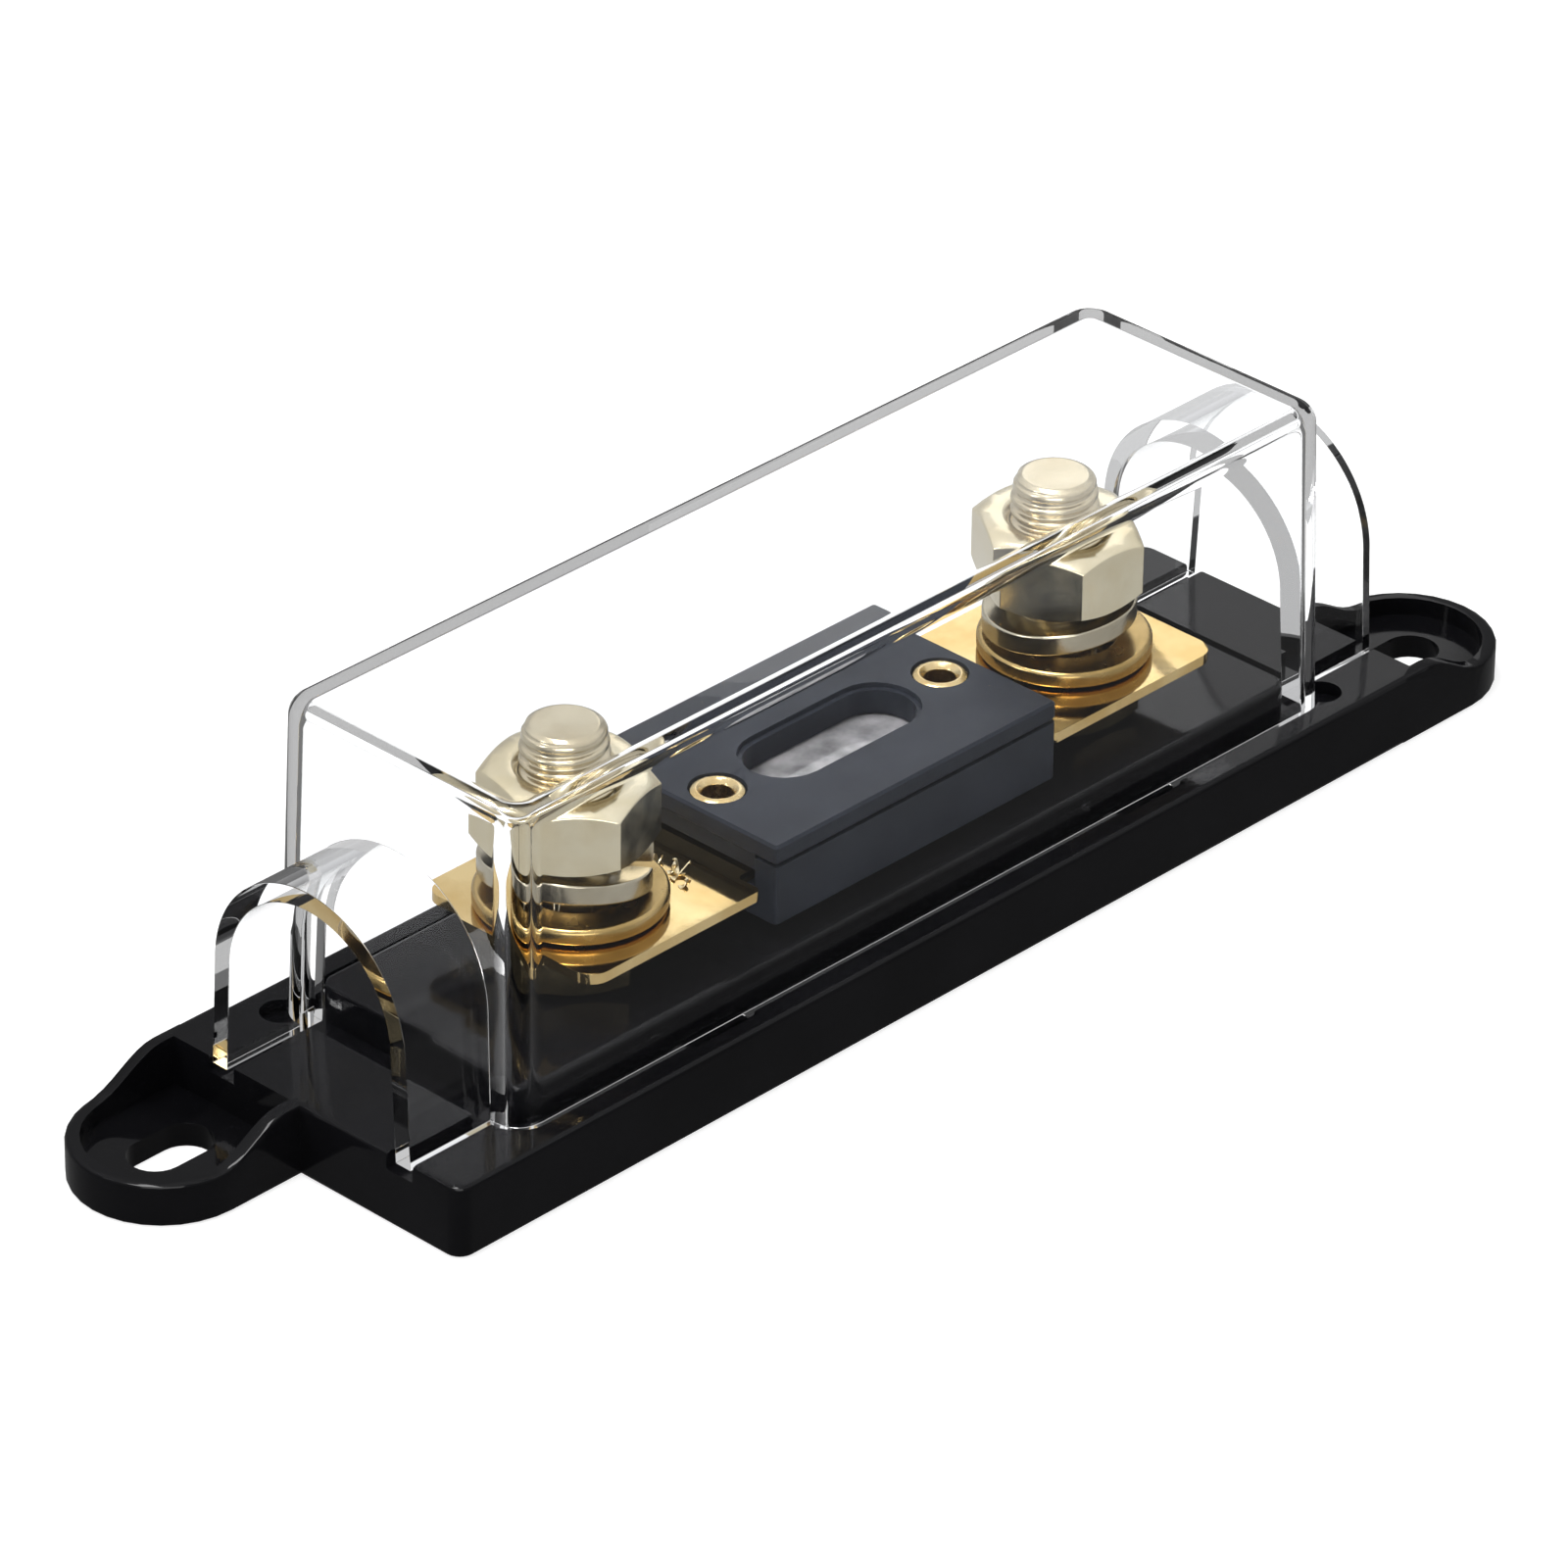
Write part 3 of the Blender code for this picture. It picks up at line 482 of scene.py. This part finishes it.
def dress(name, mesh, nodes, body, material, edge=0.0, segments=2, angle=38.0):
    """A finished piece: fine round edges, if any, a material, and its place on a body."""
    mesh = tidy_mesh(mesh)
    mesh.materials.clear()
    mesh.materials.append(material)
    mesh.shade_smooth()
    obj = add_object(name, mesh)
    if edge:
        bevel = obj.modifiers.new("edges", "BEVEL")
        bevel.width = edge
        bevel.segments = segments
        bevel.limit_method = "ANGLE"
        bevel.angle_limit = radians(angle)
        bevel.miter_outer = "MITER_ARC"
        bevel.harden_normals = False
        final = applied(obj)
        obj.modifiers.clear()
        obj.data = final
    obj.data.shade_smooth()
    obj.data.set_sharp_from_angle(angle=radians(angle))
    weigh = obj.modifiers.new("normals", "WEIGHTED_NORMAL")
    weigh.keep_sharp = True
    weigh.weight = 100
    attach(obj, body)
    if nodes:
        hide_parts(*nodes)
    return obj


def refined(node, body, material, edge, segments=2, angle=38.0):
    """The CAD node's own shape, with its edges finely rounded."""
    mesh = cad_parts[node].data.copy()
    return dress(node + "_fine", mesh, [node], body, material, edge, segments, angle)


def cylinder_mesh(name, radius, low, high, sides, turn):
    bm = bmesh.new()
    place = Matrix.Translation((0, 0, (low + high) / 2)) @ Matrix.Rotation(radians(turn), 4, "Z")
    bmesh.ops.create_cone(
        bm, cap_ends=True, segments=sides, radius1=radius, radius2=radius,
        depth=high - low, matrix=place,
    )
    return finish_bmesh(bm, name)


def turned_mesh(name, profile, sides):
    """A ring or solid turned about Z from (radius, z) points; a radius of 0 closes it."""
    bm = bmesh.new()
    rings = []
    for radius, z in profile:
        if radius == 0:
            rings.append([bm.verts.new((0, 0, z))])
        else:
            angles = [2 * pi * i / sides for i in range(sides)]
            rings.append([bm.verts.new((radius * cos(a), radius * sin(a), z)) for a in angles])
    closed = profile[0][0] > 0
    count = len(rings)
    for k in range(count if closed else count - 1):
        low, high = rings[k], rings[(k + 1) % count]
        for i in range(sides):
            j = (i + 1) % sides
            corners = [
                low[i % len(low)], low[j % len(low)], high[j % len(high)], high[i % len(high)],
            ]
            unique = list(dict.fromkeys(corners))
            if len(unique) > 2:
                bm.faces.new(unique)
    return finish_bmesh(bm, name)


def skin(bm, rings):
    """Faces between rings that have the same number of points."""
    for low, high in zip(rings, rings[1:]):
        for i in range(len(low)):
            j = (i + 1) % len(low)
            bm.faces.new((low[i], low[j], high[j], high[i]))


def prism_mesh(name, profile, low, high):
    """A solid drawn out along X from a profile of (y, z) points."""
    bm = bmesh.new()
    ends = [[bm.verts.new((x, y, z)) for y, z in profile] for x in (low, high)]
    bm.faces.new(ends[0])
    bm.faces.new(ends[1][::-1])
    skin(bm, ends)
    return finish_bmesh(bm, name)


def tapered_box(name, length, width, low, high, corner, top_round, segments, top_segments):
    """A box whose walls lean inwards, with round upright and top edges."""
    bm = bmesh.new()
    bmesh.ops.create_cube(bm, size=1.0)
    lean = (high - low) * tan(radians(cover_draft))
    for vertex in bm.verts:
        top = vertex.co.z > 0
        inset = lean if top else 0.0
        vertex.co.x *= length - 2 * inset
        vertex.co.y *= width - 2 * inset
        vertex.co.z = high if top else low
    half = 0.5 * (high - low)
    upright = [e for e in bm.edges if abs(e.verts[0].co.z - e.verts[1].co.z) > half]
    bmesh.ops.bevel(
        bm, geom=upright, offset=corner, segments=segments, profile=0.5, affect="EDGES"
    )
    rim = [e for e in bm.edges if all(abs(v.co.z - high) < 1e-7 for v in e.verts)]
    bmesh.ops.bevel(
        bm, geom=rim, offset=top_round, segments=top_segments, profile=0.5, affect="EDGES"
    )
    return finish_bmesh(bm, name)


def arch_profile(radius, low):
    """A round arch on legs that spread with the draft, as (y, z) points."""
    steps = 64
    spread = (arch_centre - low) * tan(radians(cover_draft) * 2)
    crown = [
        (radius * cos(pi * i / steps), arch_centre + radius * sin(pi * i / steps))
        for i in range(steps + 1)
    ]
    return [(radius + spread, low)] + crown + [(-radius - spread, low)]


def tab_profile(side):
    """A snap tab with a small barb on its outer side, as (y, z) points."""
    outer = cover_width / 2 - side_gap / 2
    inner = outer - tab_thickness
    root = cover_edge + tab_thickness / 2
    tip = cover_foot - tab_drop
    barb_low = tip + tab_thickness * 0.9
    barb_high = barb_low + tab_barb
    points = [
        (inner, root), (inner, tip), (outer - tab_barb, tip),
        (outer + tab_barb, barb_low), (outer, barb_high), (outer, root),
    ]
    return [(side * y, z) for y, z in points]


def make_cover():
    """The clear box with its two arched passages and four tabs."""
    lean = 2 * (cover_edge - cover_foot) * tan(radians(cover_draft))
    shell = tapered_box(
        "cover", cover_length - lean, cover_width - lean, cover_edge, cover_top,
        cover_corner, cover_top_round, 14, 8,
    )
    reach = base_length / 2 - side_gap / 2
    below = cover_foot - cover_wall
    lean_below = 2 * cover_wall * tan(radians(cover_draft))
    hollow = tapered_box(
        "hollow", cover_length - 2 * cover_wall + lean_below,
        cover_width - 2 * cover_wall + lean_below, below, cover_top - cover_wall,
        cover_corner - cover_wall, cover_hollow_round, 10, 4,
    )
    outer = prism_mesh("outer", arch_profile(arch_radius, cover_edge), -reach, reach)
    passage = arch_profile(arch_radius - cover_wall, below)
    inner = prism_mesh("inner", passage, -base_length, base_length)
    steps = [("UNION", outer), ("DIFFERENCE", hollow), ("DIFFERENCE", inner)]
    for x in (-tab_spacing / 2, tab_spacing / 2):
        for side in (-1, 1):
            low, high = x - tab_length / 2, x + tab_length / 2
            steps.append(("UNION", prism_mesh("tab", tab_profile(side), low, high)))
    mesh = boolean(shell, steps)
    dress(
        "cover_clear", mesh, ["cover"], "cover", CLEAR,
        edge=0.22 * MM, segments=3, angle=32.0,
    )


def thread_radius(z, angle):
    """The stud's radius, with a right-hand thread and a rounded end."""
    phase = (z / thread_pitch - angle / (2 * pi)) % 1.0
    rise = abs(phase - 0.5) * 2
    depth = min(max((1 - rise - thread_crest) / thread_flank, 0.0), 1.0)
    depth = depth * depth * (3 - 2 * depth)
    radius = stud_radius - thread_depth * depth
    down = stud_top - side_end - z
    nose = min(down / nose_height, 1.0)
    end = stud_radius - stud_chamfer + nose_round * sqrt(1 - (1 - nose) ** 2)
    end += nose_draft * max(down - nose_height, 0.0)
    return min(radius, end)


def make_bolt(side, x):
    """A bolt with its shank drawn in under a threaded skin, and a rounded end."""
    node = "bolt_" + side
    bm = bmesh.new()
    bm.from_mesh(tidy_mesh(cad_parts[node].data.copy()))
    for vertex in bm.verts:
        if vertex.co.z > thread_low:
            vertex.co.z = min(vertex.co.z, thread_low + stub_height)
            away = Vector((vertex.co.x - x, vertex.co.y))
            if away.length > stud_radius * 0.75:
                away *= (stud_radius - stub_inset) / away.length
            vertex.co.x = x + away.x
            vertex.co.y = away.y
    rows = 190
    columns = 80
    angles = [2 * pi * i / columns for i in range(columns)]
    levels = []
    for k in range(rows + 1):
        z = thread_low + (stud_top - side_end - thread_low) * k / rows
        levels.append((z, [thread_radius(z, a) for a in angles]))
    for inset, below_top in ((0.06, 0.04), (0.16, 0.005), (0.30, 0.0)):
        radius = stud_radius - stud_chamfer - inset * MM
        levels.append((stud_top - below_top * MM, [radius] * columns))
    rings = []
    for z, radii in levels:
        ring = [bm.verts.new((x + r * cos(a), r * sin(a), z)) for r, a in zip(radii, angles)]
        rings.append(ring)
    skin(bm, rings)
    bm.faces.new(rings[0][::-1])
    bm.faces.new(rings[-1])
    mesh = finish_bmesh(bm, node)
    dress(
        node + "_threaded", mesh, [node], "holder", STUD_ZINC, angle=50.0
    )


def nut_mesh(name, x, low, height, turn):
    """A hexagon nut with its corners turned off and a countersunk bore."""
    corner = nut_flats / 2 / cos(pi / 6)
    face = nut_flats / 2 * nut_face
    drop = (corner - face) * tan(radians(nut_chamfer))
    wide = corner + nut_margin * nut_flats
    extra = (wide - corner) * tan(radians(nut_chamfer))
    profile = [
        (0, 0), (face, 0), (wide, drop + extra), (wide, height - drop - extra),
        (face, height), (0, height),
    ]
    bore = nut_bore / 2
    drill_rim = bore + 2 * nut_sink
    drill = [
        (0, -nut_sink), (drill_rim, -nut_sink), (bore, nut_sink), (bore, height - nut_sink),
        (drill_rim, height + nut_sink), (0, height + nut_sink),
    ]
    mesh = boolean(
        cylinder_mesh(name, corner, 0, height, 6, 30.0),
        [
            ("INTERSECT", turned_mesh("trim", profile, 144)),
            ("DIFFERENCE", turned_mesh("drill", drill, 96)),
        ],
    )
    mesh.transform(Matrix.Translation((x, 0, low)) @ Matrix.Rotation(radians(turn), 4, "Z"))
    return mesh


def make_washer(side, x):
    """A flat washer with a worn, round rim, a little off its stud's centre."""
    outer = washer_radius
    inner = washer_bore / 2
    top = washer_thickness
    profile = [(inner, 0.1 * MM), (inner + 0.1 * MM, 0)]
    for centre_z, start in ((washer_edge, -90), (top - washer_edge, 0)):
        for i in range(7):
            a = radians(start + 15 * i)
            across = outer - washer_edge + washer_edge * cos(a)
            profile.append((across, centre_z + washer_edge * sin(a)))
    profile += [(inner + 0.25 * MM, top), (inner, top - 0.25 * MM)]
    mesh = turned_mesh("washer", profile, 128)
    mesh.transform(Matrix.Translation((x + washer_shift[0], washer_shift[1], washer_low)))
    node = "flat_washer_" + side
    dress(node + "_fine", mesh, [node], "holder", WASHER_ZINC_PAINTED_SHADE, angle=50.0)


def make_spring_washer(side, x, turn):
    """A square-section ring, cut through and sprung open, with its edges worn round."""
    inner = spring_bore / 2
    outer = spring_radius
    e = spring_edge
    top = spring_thickness - e
    section = []
    for cx, cz, start in (
        (outer - e, e, -90), (outer - e, top, 0), (inner + e, top, 90), (inner + e, e, 180)
    ):
        for i in range(4):
            a = radians(start + 30 * i)
            section.append((cx + e * cos(a), cz + e * sin(a)))
    steps = 120
    bm = bmesh.new()
    rings = []
    for i in range(steps + 1):
        a = -radians(360 - spring_split) * i / steps
        rise = (spring_height - spring_thickness) * i / steps
        ring = []
        for r, z in section:
            y = r * sin(a)
            ring.append(bm.verts.new((r * cos(a), y, z + rise - spring_lean * y / outer)))
        rings.append(ring)
    skin(bm, rings)
    bm.faces.new(rings[0])
    bm.faces.new(rings[-1][::-1])
    mesh = finish_bmesh(bm, "spring")
    place = Matrix.Translation((x, 0, spring_low)) @ Matrix.Rotation(radians(turn), 4, "Z")
    mesh.transform(place)
    node = "spring_washer_" + side
    dress(node + "_fine", mesh, [node], "holder", SPRING_ZINC_PAINTED_SHADE, angle=45.0)


def ribbon_mesh(name, points, widths, thickness):
    """A thin metal shaving along a path, with a rectangular section and closed ends."""
    bm = bmesh.new()
    rings = []
    for i, point in enumerate(points):
        ahead = points[min(i + 1, len(points) - 1)] - points[max(i - 1, 0)]
        side = Vector((1, 0.25, 0.1)).cross(ahead).cross(ahead).normalized() * widths[i] / 2
        lift = ahead.cross(side).normalized() * thickness / 2
        corners = (
            point - side - lift, point + side - lift, point + side + lift, point - side + lift,
        )
        rings.append([bm.verts.new(corner) for corner in corners])
    skin(bm, rings)
    bm.faces.new(rings[0][::-1])
    bm.faces.new(rings[-1])
    return finish_bmesh(bm, name)


def make_burrs():
    """Curled shavings on the left blade, beside its washer."""
    # Each: x, y and radius in mm, turns, heading in degrees, and reach in mm
    curls = (
        (-22.4, -1.4, 0.62, 1.3, 20, 1.5), (-22.0, -2.7, 0.52, 1.1, -35, 1.3),
        (-22.3, -3.8, 0.70, 0.6, 10, 2.3), (-21.4, -3.2, 0.46, 0.55, 60, 1.6),
        (-22.8, -4.7, 0.36, 0.9, -15, 1.3),
    )
    for k, (x, y, radius, turns, heading, reach) in enumerate(curls):
        points = []
        widths = []
        steps = 36
        for i in range(steps + 1):
            t = i / steps
            a = 2 * pi * turns * t - pi / 2
            grow = radius * (1 - 0.35 * t)
            along = reach * t + grow * cos(a)
            across = 0.30 * sin(3.1 * t + k)
            c, s = cos(radians(heading)), sin(radians(heading))
            points.append(Vector((
                x + along * c - across * s, y + along * s + across * c,
                blade_top / MM + 0.03 + grow * (1 + sin(a)),
            )) * MM)
            widths.append((0.55 - 0.40 * t) * MM)
        mesh = ribbon_mesh("burr", points, widths, 0.09 * MM)
        dress(f"burr_{k + 1}", mesh, [], "holder", BURR, angle=60.0)


def main():
    make_camera()
    make_world()
    make_floor()
    for lamp in lamps:
        make_lamp(*lamp)
    refined("base", "holder", BLACK_PLASTIC, 0.16 * MM, 3)
    refined("fuse_case", "holder", FUSE_PLASTIC, 0.12 * MM)
    refined("fuse_lid", "holder", FUSE_PLASTIC, 0.10 * MM)
    refined("fuse_strip", "holder", GOLD, 0.12 * MM)
    refined("window_pane", "holder", PANE, 0.05 * MM)
    make_cover()
    make_burrs()
    for i, side in enumerate(("left", "right")):
        x = (-stud_x, stud_x)[i]
        make_bolt(side, x)
        make_washer(side, x)
        make_spring_washer(side, x, spring_turns[i])
        top = nut_mesh("top", x, nut_low, nut_height, nut_turns[i])
        dress(
            f"top_nut_{side}_fine", top, [f"top_nut_{side}"], f"nut_{side}",
            YELLOW_ZINC, edge=0.13 * MM,
        )
        thin = nut_mesh("thin", x, thin_nut_low, thin_nut_height, thin_nut_turns[i])
        dress(
            f"lower_nut_{side}_fine", thin, [f"lower_nut_{side}"], "holder",
            PAINTED_SHADE_NUT_ZINC, edge=0.13 * MM,
        )
        refined(f"eyelet_{side}", "holder", BRASS, 0.06 * MM, 2, 30.0)
    bpy.context.scene.view_settings.view_transform = "Standard"


main()
